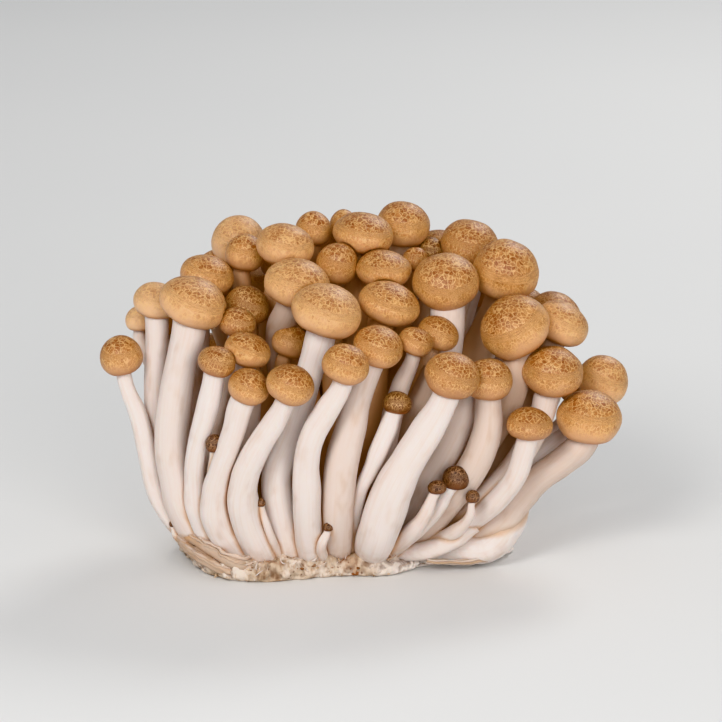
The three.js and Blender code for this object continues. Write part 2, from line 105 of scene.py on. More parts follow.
# The foot's outline from its underside up, as (share of its width, share of the crust's height).
FOOT_OUTLINE = [
    (0.98, 0), (1.0, 0.02), (1.015, 0.06), (1.03, 0.12), (1.04, 0.18), (1.047, 0.25), (1.05, 0.32),
    (1.05, 0.39), (1.045, 0.46), (1.04, 0.53), (1.03, 0.6), (1.02, 0.67), (1.005, 0.74), (0.985, 0.81),
    (0.96, 0.87), (0.93, 0.92), (0.89, 0.96), (0.84, 0.99), (0.77, 1.0), (0.64, 1.02), (0.42, 1.05),
    (0.15, 1.08),
]
# The crust's height at places across the foot.
CRUST_HEIGHTS = [(-43, 10), (-34, 7.5), (-25, 5.8), (10, 5.6), (25, 4.2), (43, 3.4)]
# The crust's unevenness: how wide and how high each kind of it is.
CRUST_NOISE = {
    "lumps": (9, 1.3), "knobs": (3.2, 0.9), "grains": (0.8, 0.5), "grit": (1.7, 0.5),
    "waves": (5, 1.6), "ripples": (1.4, 0.7),
}
FOLD_WIDTH, FOLD_DEPTH = 2.6, 1.3
FOLD_BEND_WIDTH, FOLD_BEND = 2.4, 1.6
CRUMBS, CRUMB_CLUSTERS, CRUMB_SIZE = 240, 34, (0.16, 0.4)
FIBRES, FIBRE_SIDES, FIBRE_RINGS = 180, 5, 8
FIBRE_THICKNESS, FIBRE_CLIMB = (0.2, 0.5), (0.4, 1.8)
# How much of the cluster is inside: half the width and half the depth of the bunch of stems at
# the foot, and what each mm of height adds to them. The inner stems' flesh is painted darker and
# browner inside it, as painted shade.
BUNCH = {"half_width": 41, "wider": 0.34, "half_depth": 25, "deeper": 0.1}

# ---------------------------------------------------------------- the mushrooms

# Each row: the CAD node; middle of the cap (x, y, z); its width and height; its lean to the
# right and to the front; the stem. A stem in full view is a list of points (x, y, z, thickness)
# from under the cap down to the foot. An inner stem is its thickness.
FRONT = [
    ("cap_01", (-60, -10, 58.5), (11.5, 10), (-9, 8),
     [(-58.5, -10.5, 50, 4.2), (-55.5, -11, 42, 5.1), (-53, -12, 31, 5.3), (-51, -12, 21.5, 5.2),
      (-48, -12, 14.5, 4.6), (-42, -10, 6, 4.5)]),
    ("cap_02", (-55.5, 6, 64.5), (8, 6.7), (0, 0), 4.5),
    ("cap_03", (-50.5, -3, 72), (12.5, 9), (8, 5),
     [(-50.5, -4.5, 64, 6.4), (-51, -6, 50.5, 6.2), (-50.5, -7, 34, 5.8), (-47, -7, 17, 5.4),
      (-40, -6, 5, 5)]),
    ("cap_04", (-40, -14, 74.5), (18.5, 11.3), (20, 10),
     [(-41.5, -15, 66, 9.2), (-43.5, -16, 58.5, 8.6), (-45.5, -17, 48, 9), (-46.5, -17, 34, 8.6),
      (-45.5, -17, 25.5, 8), (-44, -16, 17.5, 8), (-37, -12, 5, 9)]),
    ("cap_05", (-37, 2, 78), (15, 9.4), (16, 0),
     [(-38.5, 1, 71, 5.5), (-40, -2, 56, 6.5), (-40, -5, 34, 7), (-33, -5, 5, 8)]),
    ("cap_06", (-29, 21.5, 82.5), (15, 13), (9, 10), 7),
    ("cap_07", (-27, 10, 82), (11, 9.5), (8, 5), 6),
    ("cap_08", (-16, 3, 86), (15.5, 10.6), (9, 8), 7),
    ("cap_09", (-12.5, -11, 79), (18, 11.6), (11, 8),
     [(-15, -9.5, 70.5, 7.6), (-17.5, -5, 65, 7), (-18, -1, 58.5, 6.8), (-17.5, 1, 51, 7),
      (-13, 2, 26, 7), (-9, 2, 5, 7)]),
    ("cap_10", (-4.5, -25, 75), (19.5, 12), (17, 8),
     [(-6.5, -24, 66.5, 8), (-8.5, -24, 60, 7.2), (-11.5, -24, 49.5, 7.2), (-15, -24.5, 39, 7.4),
      (-18, -24, 30, 8.2), (-17.5, -22, 20.5, 8.8), (-14.5, -16, 5, 9.5)]),
    ("cap_11", (-26, -2, 70.5), (12.5, 9.5), (19, 5), 6),
    ("cap_12", (-28.5, -15, 69), (10, 7.2), (11, 5),
     [(-29.5, -14.5, 63, 4), (-32, -13, 50, 5), (-36, -13, 32, 6), (-32, -9, 5, 7)]),
    ("cap_13", (-25.5, -24.5, 64), (12.5, 7.8), (17, 8),
     [(-26.3, -23.5, 57.5, 5.5), (-25.5, -22, 48, 6.6), (-27, -20, 38, 7.2), (-28, -16, 22, 7.2),
      (-25, -12, 5, 7.5)]),
    ("cap_14", (-33.5, -31, 62.5), (10, 7.3), (19, 8),
     [(-34.5, -30, 57, 5.6), (-36, -29, 50, 6), (-38, -27, 42, 5.8), (-39.5, -25, 35, 5.3),
      (-40, -22, 27, 5.4), (-39.5, -20, 19, 6.4), (-34, -15, 5, 8)]),
    ("cap_15", (-14.5, -9, 62), (9.5, 8.6), (19, 0), 5),
    ("cap_16", (-8.5, 17, 87), (10, 8.8), (5, 5), 6),
    ("cap_17", (-0.5, 24, 86.5), (8, 7.6), (0, 0), 5),
    ("cap_18", (5, 10, 87.5), (16.5, 9.9), (8, 5), 8),
    ("cap_19", (16, 23, 87), (15, 11.2), (7, 10), 7),
    ("cap_20", (-2, 2, 81), (11.5, 10.6), (13, 10), 6),
    ("cap_21", (10.5, 0, 80), (15, 9.1), (3, 5), 7),
    ("cap_22", (19, 12, 79.5), (7, 6.4), (10, 0), 4.5),
    ("cap_23", (12, -12, 73.5), (16.5, 9.9), (19, 8), 8),
    ("cap_24", (27, -5, 78), (18, 12.5), (2, 25),
     [(27.5, -6, 69, 9.4), (27, -7.5, 59, 9.4), (24.5, -9, 45, 9), (20, -9.5, 29, 8.8),
      (15, -9, 5, 8.5)]),
    ("cap_25", (34, 21, 82), (16.5, 11.7), (9, 10), 8),
    ("cap_26", (43.5, 4, 79), (18, 14.8), (9, 25), 9),
    ("cap_27", (23.5, 22, 79.5), (7.5, 6.8), (0, 0), 4.5),
    ("cap_28", (45, -11, 67), (19, 14.4), (-24, 18),
     [(47, -10, 60.5, 8), (46, -11.5, 56, 8), (45, -13, 50.5, 8), (43, -14, 44.5, 8),
      (39, -15, 37.5, 8), (32, -15, 27.5, 8), (22, -7, 5, 9)]),
    ("cap_29", (57.5, 16, 63.5), (15, 10.6), (21, 5), 6.5),
    ("cap_30", (58.5, -2, 65.5), (15.5, 10.4), (26, 5),
     [(55.5, -2, 58, 6.5), (52, -3, 48, 7), (46, -4, 35, 7), (36, -5, 20, 7.5), (22, -3, 5, 8)]),
    ("cap_31", (55.5, -14, 55.5), (16.5, 11.8), (5, 15),
     [(54, -14, 48, 7), (52.5, -15, 42.5, 6.8), (49.5, -16, 36, 6.7), (45, -17, 29, 6.7),
      (39, -17, 22, 6.7), (25, -8, 5, 7.5)]),
    ("cap_32", (70, 3, 48.5), (14, 12.3), (22, 10),
     [(69, 1, 42, 5.8), (63, -1, 35.5, 6), (55, -4, 30, 6.2), (47, -6, 23, 6.2), (33, -6, 5, 6.5)]),
    ("cap_33", (65.5, -15, 43), (18, 12.7), (6, 8),
     [(63.5, -14.5, 35, 8), (58.5, -14, 30, 7.6), (52.5, -14, 25.5, 7.6), (47, -14, 19.5, 8.4),
      (42, -13, 13, 9.5), (28, -7, 4.5, 9)]),
    ("cap_34", (9, -28, 66), (14, 9.5), (16, 12),
     [(6.5, -28, 59.5, 7), (3.5, -29, 51, 7.1), (1.5, -30, 43, 8.4), (-0.5, -30, 35, 9),
      (-1.5, -29, 27.5, 8.8), (-2, -26.5, 18.5, 8.2), (-2.5, -15.5, 5, 9)]),
    ("cap_35", (19, -22, 65.5), (9.5, 6.9), (23, 8),
     [(18, -21.5, 60.5, 4.2), (15, -21, 53, 5.2), (12.5, -20, 43.5, 5.8), (10.5, -19, 32, 5.8),
      (8, -16, 5, 5.5)]),
    ("cap_36", (25, -13, 65.5), (11.5, 8.1), (21, 5), 5.5),
    ("cap_37", (28.5, -33, 59.5), (15, 10.8), (20, 12),
     [(26.5, -33, 53, 7), (21, -33, 42.5, 9), (17, -33, 36, 9.4), (13, -32, 28, 10.8),
      (11, -30, 21.5, 11.4), (9, -26, 13.5, 10.8), (7, -15, 5, 10)]),
    ("cap_38", (38, -25, 56), (13.4, 10.4), (4, 5),
     [(38, -25, 49.5, 7), (38, -25, 43, 7.6), (36.5, -24.5, 37, 8), (33.5, -23, 30, 8.2),
      (28.5, -20, 22, 8.2), (17, -9, 5, 9)]),
    ("cap_39", (0.5, -39, 64), (12.5, 9.4), (14, 12),
     [(-0.5, -38, 58, 5.5), (-5, -37, 50, 6.5), (-8.5, -36, 43, 6.6), (-10, -34, 35, 6.9),
      (-10, -32, 27, 7.6), (-10, -28, 18.5, 7.6), (-8.5, -18, 5, 9)]),
    ("cap_40", (-25, -34, 56.5), (11.5, 8.3), (19, 12),
     [(-27.5, -33, 50, 6.6), (-29, -32, 44, 6.3), (-31, -31, 38, 6.2), (-33, -29.5, 32, 6.1),
      (-34.5, -27, 25.5, 7), (-34.5, -24, 17.5, 8.2), (-28, -17, 5, 9.5)]),
    ("cap_41", (-14, -39, 58.5), (13, 9.3), (20, 14),
     [(-16, -37.5, 52, 5.8), (-18.5, -36, 47, 6.6), (-21.5, -35, 42, 6.6), (-24.5, -33.5, 36, 6.9),
      (-26.5, -31.5, 30, 7.4), (-27, -28, 22, 8.8), (-22, -18, 5, 10.5)]),
    ("cap_42", (49, -26, 44), (12.5, 7.8), (5, 5),
     [(48.5, -26, 39, 5.6), (47.5, -25.5, 35, 5.8), (46, -25, 30, 5.9), (43, -23, 24.5, 5.9),
      (38, -19, 18, 6.2), (23, -8, 4.5, 7)]),
    ("cap_43", (14, -27, 50), (7.5, 5.8), (6, 0),
     [(13, -27, 47, 4.4), (11.5, -27, 42.5, 5.2), (9, -27, 36.5, 5.2), (7, -26.5, 31.5, 4.4),
      (4.5, -26, 26, 3.7), (2, -16, 5, 3.5)]),
]

PINS = [
    ("pin_1", (-34.5, -29.5, 39.5), (4.8, 4.8), (0, 0),
     [(-34.5, -29.3, 36.2, 2.4), (-35, -28, 31.5, 2.8), (-35.5, -24, 22, 2.6), (-34, -18, 10, 3)]),
    ("pin_2", (29.5, -26, 29), (7, 6.4), (0, 0),
     [(27.5, -26, 25, 3.4), (25.5, -25.5, 21, 3.7), (22, -24, 16, 3.8), (13, -13, 5, 4.5)]),
    ("pin_3", (24.5, -30, 27.5), (5, 3.6), (0, 0),
     [(23.5, -30, 25, 2.8), (21.5, -29.5, 20, 3.7), (18, -26, 14, 5), (11, -15, 4.5, 5.5)]),
    ("pin_4", (34, -27, 24), (3.8, 3.4), (0, 0),
     [(33.7, -27, 22, 1.8), (33.4, -26, 18.5, 2.4), (29, -21, 12, 3.8), (18, -10, 5, 4.5)]),
    (None, (-22.2, -29, 22.9), (2.4, 2.2), (0, 0),
     [(-22.1, -28.5, 21, 1.8), (-20.5, -27, 15, 2.2), (-18, -21, 6, 2.6)]),
    (None, (-4.4, -29, 16.2), (2.8, 2.4), (0, 0),
     [(-4.6, -28.5, 14.6, 2), (-6, -28, 11.5, 2.6), (-6, -21, 5, 3.2)]),
    (None, (-46.4, -14, 12.5), (2, 2), (0, 0),
     [(-46.3, -14, 11.5, 1.6), (-45, -13, 8, 2.2), (-40, -10, 5, 2.8)]),
]

# The same for the back, with the number of the bunch that the cap is in.
BACK = [
    (1, (-38, 17, 70.5), (13, 9.5), (-18, -15), 6),
    (1, (-34.5, 26, 74), (14, 10), (-12, -18), 6.5),
    (2, (-17, 17, 77.5), (12, 9), (-3, 0), 5.5),
    (2, (-17, 28, 79), (15, 11), (-5, -20), 7),
    (2, (-5.5, 31, 80), (14, 10), (0, -22), 6.5),
    (3, (14, 33, 79), (15, 11), (5, -22), 7),
    (3, (26, 31, 78), (14, 10), (8, -20), 6.5),
    (3, (36.5, 28.5, 75), (14, 10.4), (12, -18), 6.5),
    (3, (46.5, 22.5, 72), (12, 9), (15, -15), 6),
    (4, (-51, 13, 61), (12, 9), (-25, -15), 6),
    (4, (-46, 22.5, 60), (14, 10), (-20, -22), 6.5),
    (5, (-24.5, 36.5, 66), (15, 11), (-10, -28), 7),
    (5, (-11.5, 38.5, 66.5), (16, 11.5), (-5, -30), 7.5),
    (6, (7.5, 40, 67), (15, 11), (0, -30), 7),
    (6, (19.5, 39.5, 66), (15, 10.5), (6, -30), 7),
    (7, (39, 35, 64), (15, 11), (12, -25), 7),
    (7, (49.5, 30, 62), (13, 10), (20, -20), 6.5),
    (8, (-44.5, 25.5, 47), (11, 8), (-25, -25), 5.5),
    (8, (-37.5, 32.5, 48.5), (13, 9), (-18, -32), 6),
    (9, (-20.5, 40, 51), (14, 10), (-8, -38), 6.5),
    (9, (-9, 42, 51), (13, 9.5), (-3, -40), 6),
    (10, (8.5, 43.5, 50.5), (14, 10), (3, -40), 6.5),
    (10, (20.5, 42.5, 49.5), (13, 9.5), (10, -36), 6),
    (11, (36.5, 37.5, 48), (14, 10), (18, -30), 6.5),
    (11, (46.5, 33, 46.5), (13, 9.5), (26, -22), 6),
    (12, (59.5, 19, 44), (13, 9.5), (28, -16), 6),
    (12, (65, 9.5, 42.5), (13, 9), (28, -8), 6),
]

# Stems whose caps are gone: those inside the bunch, those in view and the dried ones at the
# foot's side. Each row is the kind, how tan it is, from 0 to 1, and (x, y, z, thickness) from
# its free end down. The tan is partly the stump's own colour and partly painted shade where it
# lies in shadow among the stems.
STUMPS = [
    ("inside", 1.0, [(-19.4, 4, 77, 3.2), (-20.6, 5, 62, 6), (-18, 3, 35, 7), (-11, 2, 5, 7)]),
    ("in view", 0.45, [(34, -17.5, 51.5, 5), (31.5, -18, 43, 7.2), (26.5, -17.5, 32, 7.6),
                       (22.5, -16, 25, 7.6), (15, -10, 5, 8)]),
    ("in view", 0.9, [(23.5, -14, 56, 5.5), (21, -14, 48, 7), (17.5, -14, 39, 7.5),
                      (15, -14, 29.5, 7.5), (6, -11, 5, 8)]),
    ("dried", 1.0, [(-47, -11, 11, 2.5), (-41.5, -17, 9.5, 3.6), (-35.5, -22.5, 7.5, 4.4),
                    (-28.5, -26.5, 5, 4.6), (-24, -21, 3.5, 5)]),
    ("dried", 1.0, [(-45.5, -13, 8.5, 2.6), (-41.5, -18, 6, 3.8), (-37, -22.5, 4.5, 4.4),
                    (-30, -25, 2.4, 4.6), (-24, -20, 3, 5)]),
    ("in view", 0.0, [(47, -12, 19.5, 7), (43.8, -12.5, 12, 9.5), (38.5, -13, 6, 9.5),
                      (31.5, -13, 5, 8), (23, -9, 4, 7)]),
    ("in view", 0.15, [(35.5, -18, 12.5, 2.5), (29.5, -19, 9.5, 5), (23, -18.5, 6.5, 5),
                       (14, -15, 4, 4.5)]),
]

# A torn edge of the crust under the thick stump at the right: (x, y, z, thickness).
TORN_EDGE = [
    (41.5, -12.5, 3.2, 1.4), (37, -16.4, 2.7, 1.8), (32, -17.6, 2.5, 1.8), (27, -18.5, 2.8, 1.9),
    (22, -19.5, 3.4, 1.2),
]

# How tan a stem is, from 0 to 1, and how brown a cap is: dark above 1 and pale below 0. Both are
# partly the mushroom's own tone and partly painted shade and light: a stem or cap that lies in
# shadow is painted tan or dark, and a cap in full light is painted paler. The others take it
# from their seed.
STEM_TONES_AND_SHADES = {
    "cap_38": 0.6, "cap_33": 0.6, "cap_34": 0.45, "cap_04": 0.25, "cap_31": 0.4, "cap_28": 1.0,
    "cap_30": 1.0, "cap_05": 0.6, "cap_12": 0.6, "cap_13": 0.5, "cap_35": 0.5, "cap_09": 0.8,
    "cap_24": 0.4, "cap_01": 0.1, "cap_03": 0.15, "cap_10": 0.1, "cap_37": 0.1, "cap_39": 0.1,
}
CAP_TONES_AND_SHADES = {
    "cap_43": 2, "cap_27": 2, "cap_11": 1.5, "cap_12": 1.2, "cap_14": 1.2, "cap_37": 1, "cap_42": 1,
    "cap_22": 1, "cap_38": 0.8, "cap_35": 0.6, "cap_34": 0.5, "cap_41": 0.5, "cap_40": 0.5,
    "cap_39": 0.4, "cap_04": -0.5, "cap_08": -0.5, "cap_09": -0.5, "cap_10": -0.5, "cap_30": -0.5,
    "cap_32": -0.5, "cap_06": -1, "cap_03": -1.2, "cap_02": -1.5,
}

Mushroom = namedtuple("Mushroom", "node middle radius half axis stem seed")


def mushrooms_of(rows, first_seed):
    """The rows' mushrooms in metres. The seed makes each one's small irregularities its own."""
    found = []
    for seed, (node, middle, (width, height), (right, front), stem) in enumerate(rows, first_seed):
        right, front = math.radians(right), math.radians(front)
        upwards = math.cos(right)
        axis = Vector((math.sin(right), -math.sin(front) * upwards, math.cos(front) * upwards))
        found.append(Mushroom(node, Vector(middle) * MM, width / 2 * MM, height / 2 * MM, axis, stem, seed))
    return found


def route_of(points):
    """A stem's (x, y, z, thickness) points as (place, thickness) pairs in metres, foot first."""
    return [(Vector(point[:3]) * MM, point[3] * MM) for point in reversed(points)]


# ---------------------------------------------------------------- modelling helpers

def deselect_all():
    bpy.ops.object.select_all(action="DESELECT")


def make_active(piece):
    deselect_all()
    piece.select_set(True)
    bpy.context.view_layer.objects.active = piece


def join(pieces, name):
    """The pieces as one object with that name."""
    deselect_all()
    for piece in pieces:
        piece.select_set(True)
    bpy.context.view_layer.objects.active = pieces[0]
    if len(pieces) > 1:
        bpy.ops.object.join()
    pieces[0].name = pieces[0].data.name = name
    return pieces[0]


def own_copy(template):
    """A copy of the template with a mesh of its own."""
    piece = template.copy()
    piece.data = template.data.copy()
    bpy.context.collection.objects.link(piece)
    return piece


def apply_modifier(piece, kind, **settings):
    make_active(piece)
    modifier = piece.modifiers.new(kind.title(), kind)
    for key, value in settings.items():
        setattr(modifier, key, value)
    bpy.ops.object.modifier_apply(modifier=modifier.name)


def remove(*things):
    for thing in things:
        bpy.data.objects.remove(thing)


def select_vertices(piece, chosen):
    """In edit mode, selects the vertices whose place passes the test."""
    mesh = bmesh.from_edit_mesh(piece.data)
    mesh.select_mode = {"VERT"}
    for vertex in mesh.verts:
        vertex.select = chosen(vertex.co)
    mesh.select_flush_mode()
    bmesh.update_edit_mesh(piece.data)


def close_ring():
    """Closes the selected ring of vertices by a fan round its middle."""
    bpy.ops.mesh.edge_face_add()
    bpy.ops.mesh.poke()


def turned(outline, sides):
    """A closed solid round Z: rings of that (radius, height), extruded from its underside up."""
    (radius, level), *rest = outline
    deselect_all()
    bpy.ops.mesh.primitive_circle_add(vertices=sides, radius=radius, location=(0, 0, level))
    solid = bpy.context.object
    bpy.ops.object.transform_apply(location=True)
    bpy.ops.object.mode_set(mode="EDIT")
    bpy.ops.mesh.select_all(action="SELECT")
    close_ring()
    select_vertices(solid, lambda place: math.hypot(place.x, place.y) > radius / 2)
    for wider, higher in rest:
        bpy.ops.mesh.extrude_edges_move(TRANSFORM_OT_translate={"value": (0, 0, higher - level)})
        share = wider / radius
        bpy.ops.transform.resize(value=(share, share, 1))
        radius, level = wider, higher
    close_ring()
    bpy.ops.mesh.select_all(action="SELECT")
    bpy.ops.mesh.normals_make_consistent(inside=False)
    bpy.ops.object.mode_set(mode="OBJECT")
    return solid


def write_attribute(piece, name, kind, values):
    """A value or a vector for each vertex, which the materials read by name."""
    attribute = piece.data.attributes.new(name, kind, "POINT")
    if kind == "FLOAT":
        attribute.data.foreach_set("value", values)
    else:
        attribute.data.foreach_set("vector", [number for vector in values for number in vector])


def finish_piece(piece, nodes, material):
    """What every piece needs: a material, a body to ride on, the nodes it stands for."""
    piece.data.materials.clear()
    piece.data.materials.append(material)
    make_active(piece)
    bpy.ops.object.shade_smooth()
    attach(piece, BODY)
    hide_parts(*nodes)


# ---------------------------------------------------------------- materials

class Wire:
    """A socket on which arithmetic adds the Math nodes for it."""

    def __init__(self, look, socket):
        self.look, self.socket = look, socket

    def calculate(self, operation, *others):
        return self.look.node("ShaderNodeMath", {"operation": operation}, dict(enumerate((self, *others))))

    def __add__(self, other):
        return self.calculate("ADD", other)

    def __sub__(self, other):
        return self.calculate("SUBTRACT", other)

    def __rsub__(self, other):
        return self.look.node("ShaderNodeMath", {"operation": "SUBTRACT"}, {0: other, 1: self})

    def __mul__(self, other):
        return self.calculate("MULTIPLY", other)

    __radd__, __rmul__ = __add__, __mul__

    def clamped(self):
        return self.look.node("ShaderNodeClamp", {}, {"Value": self})

    def step(self, low, high):
        """0 below low, 1 above high, and a soft step between them. High may be below low."""
        return self.look.node(
            "ShaderNodeMapRange", {"interpolation_type": "SMOOTHSTEP"},
            {"Value": self, "From Min": low, "From Max": high},
        )


class Look:
    """A material in the making, round one Principled shader."""

    def __init__(self, name):
        self.material = bpy.data.materials.new(name)
        self.material.use_nodes = True
        self.tree = self.material.node_tree
        self.shader = self.tree.nodes["Principled BSDF"]

    def put(self, socket, value):
        if isinstance(value, Wire):
            self.tree.links.new(value.socket, socket)
        else:
            socket.default_value = value

    def node(self, kind, settings, inputs, output=0):
        """A node of that kind, its settings made first, with values or wires in its sockets."""
        made = self.tree.nodes.new(kind)
        for key, value in settings.items():
            setattr(made, key, value)
        for key, value in inputs.items():
            self.put(made.inputs[key], value)
        return Wire(self, made.outputs[output])

    def finish(self, **sockets):
        for key, value in sockets.items():
            self.put(self.shader.inputs[key.replace("_", " ")], value)
        return self.material

    def attribute(self, name, output="Fac"):
        return self.node("ShaderNodeAttribute", {"attribute_name": name}, {}, output)

    def object_place(self):
        return self.node("ShaderNodeTexCoord", {}, {}, "Object")

    def stretched(self, vector, scale):
        return self.node("ShaderNodeVectorMath", {"operation": "MULTIPLY"}, {0: vector, 1: scale})

    def shifted(self, vector, other):
        return self.node("ShaderNodeVectorMath", {"operation": "ADD"}, {0: vector, 1: other})

    def noise(self, vector, scale, detail=2.0, output="Fac"):
        inputs = {"Vector": vector, "Scale": scale, "Detail": detail}
        return self.node("ShaderNodeTexNoise", {}, inputs, output)

    def cells(self, vector, scale, feature, output="Distance"):
        inputs = {"Vector": vector, "Scale": scale}
        return self.node("ShaderNodeTexVoronoi", {"feature": feature}, inputs, output)

    def mixed(self, share, low, high):
        """Low where the share is 0 and high where it is 1: wires, or colours as sRGB values."""
        low, high = (end if isinstance(end, Wire) else colour(*end) for end in (low, high))
        mix = {"data_type": "RGBA"}
        return self.node("ShaderNodeMix", mix, {0: share, 6: low, 7: high}, 2)

    def bumped(self, height, distance, strength):
        inputs = {"Height": height, "Distance": distance, "Strength": strength}
        return self.node("ShaderNodeBump", {}, inputs)


def colour(red, green, blue):
    """A colour by its sRGB values from 0 to 255."""
    shares = [value / 255 for value in (red, green, blue)]
    return (*[s / 12.92 if s <= 0.04045 else ((s + 0.055) / 1.055) ** 2.4 for s in shares], 1)


def cap_look(name, crown, fill, margin, net, rim_shade, dark, pale, net_reach):
    """Cap skin: a fine pale crackled net over a browner crown, fading to a smooth margin.

    "skin" is a place on the unrolled skin in mm with the mushroom's seed as its third number,
    "height" runs from -1 at the rim to 1 at the crown, and "tone" is 1 for a browner cap,
    above 1 for a dark one and below 0 for a paler one. The tone is partly the cap's own colour
    and partly painted light and shade: above 1 it paints the shade on a cap that lies in
    shadow. The rim and the gills' bed under it are painted darker orange-brown as shade.
    """
    look = Look(name)
    skin, height = look.attribute("skin", "Vector"), look.attribute("height")
    tone = look.attribute("tone")
    drift = look.stretched(look.noise(skin, 0.4, 2, "Color"), (1.6, 1.6, 0))
    place = look.shifted(skin, drift)
    place = look.shifted(place, look.stretched(look.noise(skin, 1.5, 2, "Color"), (0.4, 0.4, 0)))
    patches = look.noise(skin, 0.24, 3)
    edge = look.cells(place, 0.82, "DISTANCE_TO_EDGE")
    small_edge = look.cells(place, 1.9, "DISTANCE_TO_EDGE")
    each = look.node("ShaderNodeSeparateColor", {}, {0: look.cells(place, 0.82, "F1", "Color")})
    top = (height + (patches - 0.5) * 1.5).step(*net_reach)
    netted = (height + (patches - 0.5) * 1.1).step(-0.8, 0.05)
    line = edge.step(0.12, 0.03) * (look.noise(skin, 0.9, 2).step(0.3, 0.6) * 0.6 + 0.4)
    small_line = small_edge.step(0.1, 0.01) * look.noise(skin, 0.7, 2).step(0.4, 0.6)
    specks = look.cells(skin, 2.3, "F1").step(0.26, 0.08) * look.noise(skin, 1.3, 1).step(0.42, 0.6)
    mottle = look.noise(skin, 1.9, 4)
    # paler caps: partly their own paler tone, partly painted light
    pale_tone_and_light = (tone * -0.45).clamped()
    brown = (top * (0.55 + 0.35 * each) + netted * each * 0.25 + specks * 0.4 * netted).clamped()
    brown = brown * (1 - pale_tone_and_light * 0.8)
    base = look.mixed((height + (patches - 0.5) * 0.8).step(-0.55, 0.3), margin, fill)
    # browner caps: partly their own tone, partly painted shade
    base = look.mixed((tone * 0.45).clamped(), base, crown)
    base = look.mixed(pale_tone_and_light, base, pale)
    base = look.mixed(brown, base, crown)
    # painted shade: caps that lie in shadow among the others are darkened towards dark brown
    base = look.mixed(((tone - 1) * 0.7).clamped(), base, dark)
    base = look.mixed(line * netted * 0.5, base, net)
    base = look.mixed(small_line * netted * 0.4, base, net)
    base = look.mixed((mottle - 0.5).step(0.02, 0.2) * netted * 0.25, base, net)
    # painted shade under the cap: the inrolled rim and the gills' bed made darker orange-brown
    base = look.mixed(height.step(-0.55, -0.92) * 0.75, base, rim_shade)
    relief = edge.step(0.0, 0.14) * netted * 0.5 + small_edge.step(0.0, 0.1) * netted * 0.3
    return look.finish(
        Base_Color=base,
        Roughness=0.36 + mottle * 0.16,
        Normal=look.bumped(relief + mottle * 0.25, 0.0001, 0.5),
        Subsurface_Weight=0.14,
        Subsurface_Radius=(1.0, 0.45, 0.2),
        Subsurface_Scale=0.0022,
        Specular_IOR_Level=0.5,
    )


def flesh_look(name, light, warm, tan, shade, deep_shade, stain_and_shade):
    """Stem flesh: cream with faint fibres along it.

    "along" runs round the stem in its first two numbers and up it in its third, in mm, with the
    seed's shift. "tone" is 1 for a tan stem, which is partly the stem's own tan and partly
    painted shade where it lies in shadow. "depth" is 1 in the middle of the bunch, where the
    flesh is painted darker and browner as painted shade, and "seam" is 1 where a stem touches
    another, where it gets a tan painted contact shade that is partly a stain.
    """
    look = Look(name)
    along = look.attribute("along", "Vector")
    fibres = look.noise(look.stretched(along, (1.6, 1.6, 0.05)), 1.0, 4)
    clouds = look.noise(look.stretched(along, (0.3, 0.3, 0.12)), 1.0, 2)
    hairs = look.noise(look.stretched(along, (5.0, 5.0, 0.16)), 1.0, 2)
    depth = look.attribute("depth")
    low = look.node("ShaderNodeSeparateXYZ", {}, {0: look.object_place()}, 2).step(0.013, 0.003)
    base = look.mixed(fibres.step(0.42, 0.72) * 0.5, light, warm)
    base = look.mixed((clouds.step(0.5, 0.8) * 0.3 + look.attribute("tone") * 0.85).clamped(), base, tan)
    base = look.mixed(hairs.step(0.62, 0.8) * 0.25, base, tan)
    base = look.mixed(low * look.noise(along, 0.5, 3).step(0.35, 0.85) * 0.4, base, tan)
    # painted contact shade, partly a tan stain, where one stem touches another
    seam = (look.attribute("seam") + (clouds - 0.5) * 0.6).step(0.35, 1.0)
    base = look.mixed(seam * 0.75, base, stain_and_shade)
    # painted shade: inner stems darker and browner the deeper they stand in the bunch
    base = look.mixed(depth.step(0.0, 0.5), base, shade)
    base = look.mixed(depth.step(0.4, 1.0), base, deep_shade)
    return look.finish(
        Base_Color=base,
        Roughness=0.5 + fibres * 0.2,
        Normal=look.bumped(fibres * 0.7 + hairs * 0.3, 0.0001, 0.5),
        Subsurface_Weight=0.25,
        Subsurface_Radius=(1.0, 0.6, 0.4),
        Subsurface_Scale=0.0025,
        Specular_IOR_Level=0.4,
    )


def crust_look(name, fresh, cream, pale, tan, brown, rust):
    """The foot's crust: dried matted flesh with stains and rusty specks, paler to the right."""
    look = Look(name)
    place = look.object_place()
    across = look.node("ShaderNodeSeparateXYZ", {}, {0: place})
    stains = look.noise(place, 120, 4)
    strands = look.noise(look.stretched(place, (1.0, 1.0, 0.4)), 520, 5)
    pits = look.cells(place, 620, "F1").step(0.3, 0.1) * look.noise(place, 210, 2).step(0.45, 0.55)
    specks = look.noise(place, 330, 3).step(0.56, 0.66) * look.noise(place, 75, 2).step(0.46, 0.56)
    blotches = look.noise(place, 160, 3).step(0.57, 0.66)
    right = (across + (stains - 0.5) * 0.03).step(0.006, 0.02)
    base = look.mixed(stains.step(0.36, 0.6), cream, pale)
    base = look.mixed(strands.step(0.47, 0.62) * 0.6, base, tan)
    base = look.mixed(strands.step(0.58, 0.72) * 0.6, base, brown)
    base = look.mixed(pits * 0.8, base, brown)
    base = look.mixed((specks * 0.8 + blotches * 0.28).clamped(), base, rust)
    base = look.mixed(right * 0.9, base, fresh)
    # browner in the crevices of the folds
    base = look.mixed(look.attribute("crevice").step(0.2, 0.9) * 0.6, base, brown)
    return look.finish(
        Base_Color=base,
        Roughness=0.75 + strands * 0.2,
        Normal=look.bumped(strands * 0.7 + stains * 0.3, 0.0006, 0.9),
        Subsurface_Weight=0.1,
        Subsurface_Radius=(1.0, 0.6, 0.35),
        Subsurface_Scale=0.002,
    )


